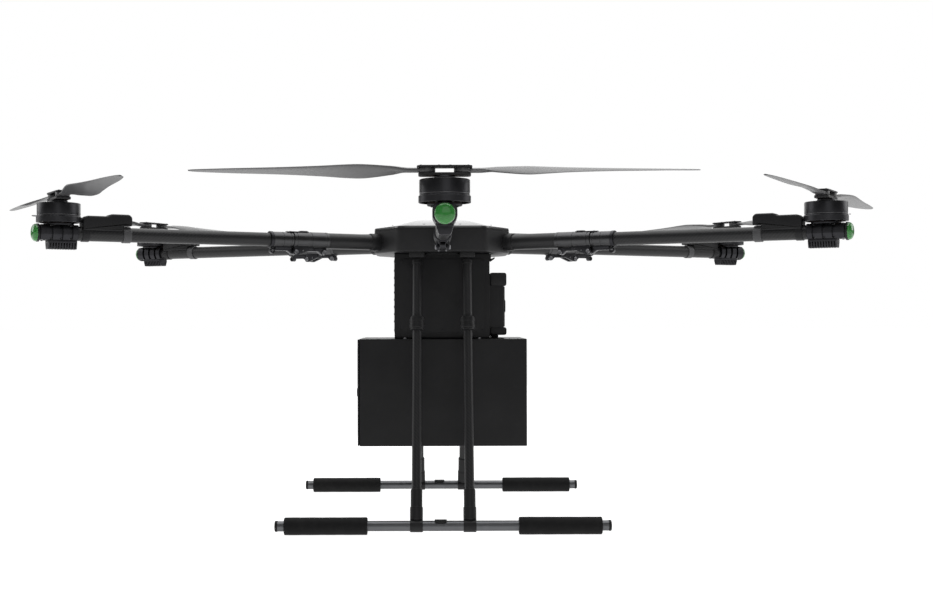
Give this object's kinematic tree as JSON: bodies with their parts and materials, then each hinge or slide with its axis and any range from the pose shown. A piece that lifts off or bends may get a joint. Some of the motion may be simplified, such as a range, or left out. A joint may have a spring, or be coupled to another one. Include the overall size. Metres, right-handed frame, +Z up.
{
  "type": "hexacopter drone",
  "caption": "Folding multirotor drone on skid legs, with a slide-out battery bay and a cargo box under the hull.",
  "frame": {"origin": "on the ground, under the middle of the hull and of the whole drone's box", "axes": "+Z up, -Y towards the nose, +X to the side where the battery slides out"},
  "size_m": [1.9972, 1.91, 0.717],
  "materials": {
    "hull_shell": "matte black moulded shell",
    "hull_lid": "glossy black moulded lid",
    "cargo_shell": "matte black sheet",
    "battery_case": "fine-textured black plastic",
    "controller_case": "matte black case",
    "circuit": "solder-masked circuit board",
    "carbon": "satin woven carbon tube",
    "anodised": "black anodised, satin",
    "fold_alloy": "dark grey anodised, satin",
    "skid_tube": "dark satin tube",
    "blade": "satin carbon composite",
    "lamp_lens": "clear green lens",
    "foam": "closed-cell black foam"
  },
  "bodies": {
    "root": {"hull_base": "hull_shell", "hull_lid": "hull_lid", "power_board": "circuit", "flight_controller": "controller_case", "equipment_bay": "hull_shell", "payload_box": "cargo_shell", "front_skid_tube": "skid_tube", "front_left_leg": "carbon", "front_left_foam_sleeve": "foam", "front_right_leg": "carbon", "front_right_foam_sleeve": "foam", "rear_skid_tube": "skid_tube", "rear_left_leg": "carbon", "rear_left_foam_sleeve": "foam", "rear_right_leg": "carbon", "rear_right_foam_sleeve": "foam", "front_arm_root": "fold_alloy", "front_right_arm_root": "fold_alloy", "rear_right_arm_root": "fold_alloy", "rear_arm_root": "fold_alloy", "rear_left_arm_root": "fold_alloy", "front_left_arm_root": "fold_alloy"},
    "battery": {"battery_pack": "battery_case"},
    "door": {"payload_door": "cargo_shell"},
    "front_arm_fold": {"front_arm": "carbon", "front_motor_mount": "anodised", "front_lamp": "lamp_lens"},
    "front_spinner": {"front_rotor": "anodised"},
    "front_blade_a_fold": {"front_blade_a": "blade"},
    "front_blade_b_fold": {"front_blade_b": "blade"},
    "front_right_arm_fold": {"front_right_arm": "carbon", "front_right_motor_mount": "anodised", "front_right_lamp": "lamp_lens"},
    "front_right_spinner": {"front_right_rotor": "anodised"},
    "front_right_blade_a_fold": {"front_right_blade_a": "blade"},
    "front_right_blade_b_fold": {"front_right_blade_b": "blade"},
    "rear_right_arm_fold": {"rear_right_arm": "carbon", "rear_right_motor_mount": "anodised", "rear_right_lamp": "lamp_lens"},
    "rear_right_spinner": {"rear_right_rotor": "anodised"},
    "rear_right_blade_a_fold": {"rear_right_blade_a": "blade"},
    "rear_right_blade_b_fold": {"rear_right_blade_b": "blade"},
    "rear_arm_fold": {"rear_arm": "carbon", "rear_motor_mount": "anodised", "rear_lamp": "lamp_lens"},
    "rear_spinner": {"rear_rotor": "anodised"},
    "rear_blade_a_fold": {"rear_blade_a": "blade"},
    "rear_blade_b_fold": {"rear_blade_b": "blade"},
    "rear_left_arm_fold": {"rear_left_arm": "carbon", "rear_left_motor_mount": "anodised", "rear_left_lamp": "lamp_lens"},
    "rear_left_spinner": {"rear_left_rotor": "anodised"},
    "rear_left_blade_a_fold": {"rear_left_blade_a": "blade"},
    "rear_left_blade_b_fold": {"rear_left_blade_b": "blade"},
    "front_left_arm_fold": {"front_left_arm": "carbon", "front_left_motor_mount": "anodised", "front_left_lamp": "lamp_lens"},
    "front_left_spinner": {"front_left_rotor": "anodised"},
    "front_left_blade_a_fold": {"front_left_blade_a": "blade"},
    "front_left_blade_b_fold": {"front_left_blade_b": "blade"}
  },
  "joints": [
    {"name": "battery_slide", "type": "slide", "parent": "root", "child": "battery", "axis": [1, 0, 0], "range_m": [0, 0.19]},
    {"name": "payload_door_hinge", "type": "hinge", "parent": "root", "child": "door", "pos_m": [-0.193, 0.1285, 0.288], "axis": [0, 0, -1], "range_deg": [0, 90]},
    {"name": "front_arm_hinge", "type": "hinge", "parent": "root", "child": "front_arm_fold", "pos_m": [0, -0.3815, 0.6055], "axis": [1, 0, 0], "range_deg": [0, 90]},
    {"name": "front_rotor_spin", "type": "hinge", "parent": "front_arm_fold", "child": "front_spinner", "pos_m": [0, -0.9, 0.70825], "axis": [0, 0, 1], "continuous": true},
    {"name": "front_blade_a_pivot", "type": "hinge", "parent": "front_spinner", "child": "front_blade_a_fold", "pos_m": [0.03, -0.9, 0.70825], "axis": [0, 0, -1], "range_deg": [0, 90]},
    {"name": "front_blade_b_pivot", "type": "hinge", "parent": "front_spinner", "child": "front_blade_b_fold", "pos_m": [-0.03, -0.9, 0.70825], "axis": [0, 0, 1], "range_deg": [0, 90]},
    {"name": "front_right_arm_hinge", "type": "hinge", "parent": "root", "child": "front_right_arm_fold", "pos_m": [0.33039, -0.19075, 0.6055], "axis": [0.5, 0.866, 0], "range_deg": [0, 90]},
    {"name": "front_right_rotor_spin", "type": "hinge", "parent": "front_right_arm_fold", "child": "front_right_spinner", "pos_m": [0.77942, -0.45, 0.70825], "axis": [0, 0, 1], "continuous": true},
    {"name": "front_right_blade_a_pivot", "type": "hinge", "parent": "front_right_spinner", "child": "front_right_blade_a_fold", "pos_m": [0.79442, -0.42402, 0.70825], "axis": [0, 0, -1], "range_deg": [0, 90]},
    {"name": "front_right_blade_b_pivot", "type": "hinge", "parent": "front_right_spinner", "child": "front_right_blade_b_fold", "pos_m": [0.76442, -0.47598, 0.70825], "axis": [0, 0, 1], "range_deg": [0, 90]},
    {"name": "rear_right_arm_hinge", "type": "hinge", "parent": "root", "child": "rear_right_arm_fold", "pos_m": [0.33039, 0.19075, 0.6055], "axis": [-0.5, 0.866, 0], "range_deg": [0, 90]},
    {"name": "rear_right_rotor_spin", "type": "hinge", "parent": "rear_right_arm_fold", "child": "rear_right_spinner", "pos_m": [0.77942, 0.45, 0.70825], "axis": [0, 0, 1], "continuous": true},
    {"name": "rear_right_blade_a_pivot", "type": "hinge", "parent": "rear_right_spinner", "child": "rear_right_blade_a_fold", "pos_m": [0.76442, 0.47598, 0.70825], "axis": [0, 0, -1], "range_deg": [0, 90]},
    {"name": "rear_right_blade_b_pivot", "type": "hinge", "parent": "rear_right_spinner", "child": "rear_right_blade_b_fold", "pos_m": [0.79442, 0.42402, 0.70825], "axis": [0, 0, 1], "range_deg": [0, 90]},
    {"name": "rear_arm_hinge", "type": "hinge", "parent": "root", "child": "rear_arm_fold", "pos_m": [0, 0.3815, 0.6055], "axis": [-1, 0, 0], "range_deg": [0, 90]},
    {"name": "rear_rotor_spin", "type": "hinge", "parent": "rear_arm_fold", "child": "rear_spinner", "pos_m": [0, 0.9, 0.70825], "axis": [0, 0, 1], "continuous": true},
    {"name": "rear_blade_a_pivot", "type": "hinge", "parent": "rear_spinner", "child": "rear_blade_a_fold", "pos_m": [-0.03, 0.9, 0.70825], "axis": [0, 0, -1], "range_deg": [0, 90]},
    {"name": "rear_blade_b_pivot", "type": "hinge", "parent": "rear_spinner", "child": "rear_blade_b_fold", "pos_m": [0.03, 0.9, 0.70825], "axis": [0, 0, 1], "range_deg": [0, 90]},
    {"name": "rear_left_arm_hinge", "type": "hinge", "parent": "root", "child": "rear_left_arm_fold", "pos_m": [-0.33039, 0.19075, 0.6055], "axis": [-0.5, -0.866, 0], "range_deg": [0, 90]},
    {"name": "rear_left_rotor_spin", "type": "hinge", "parent": "rear_left_arm_fold", "child": "rear_left_spinner", "pos_m": [-0.77942, 0.45, 0.70825], "axis": [0, 0, 1], "continuous": true},
    {"name": "rear_left_blade_a_pivot", "type": "hinge", "parent": "rear_left_spinner", "child": "rear_left_blade_a_fold", "pos_m": [-0.79442, 0.42402, 0.70825], "axis": [0, 0, -1], "range_deg": [0, 90]},
    {"name": "rear_left_blade_b_pivot", "type": "hinge", "parent": "rear_left_spinner", "child": "rear_left_blade_b_fold", "pos_m": [-0.76442, 0.47598, 0.70825], "axis": [0, 0, 1], "range_deg": [0, 90]},
    {"name": "front_left_arm_hinge", "type": "hinge", "parent": "root", "child": "front_left_arm_fold", "pos_m": [-0.33039, -0.19075, 0.6055], "axis": [0.5, -0.866, 0], "range_deg": [0, 90]},
    {"name": "front_left_rotor_spin", "type": "hinge", "parent": "front_left_arm_fold", "child": "front_left_spinner", "pos_m": [-0.77942, -0.45, 0.70825], "axis": [0, 0, 1], "continuous": true},
    {"name": "front_left_blade_a_pivot", "type": "hinge", "parent": "front_left_spinner", "child": "front_left_blade_a_fold", "pos_m": [-0.76442, -0.47598, 0.70825], "axis": [0, 0, -1], "range_deg": [0, 90]},
    {"name": "front_left_blade_b_pivot", "type": "hinge", "parent": "front_left_spinner", "child": "front_left_blade_b_fold", "pos_m": [-0.79442, -0.42402, 0.70825], "axis": [0, 0, 1], "range_deg": [0, 90]}
  ]
}
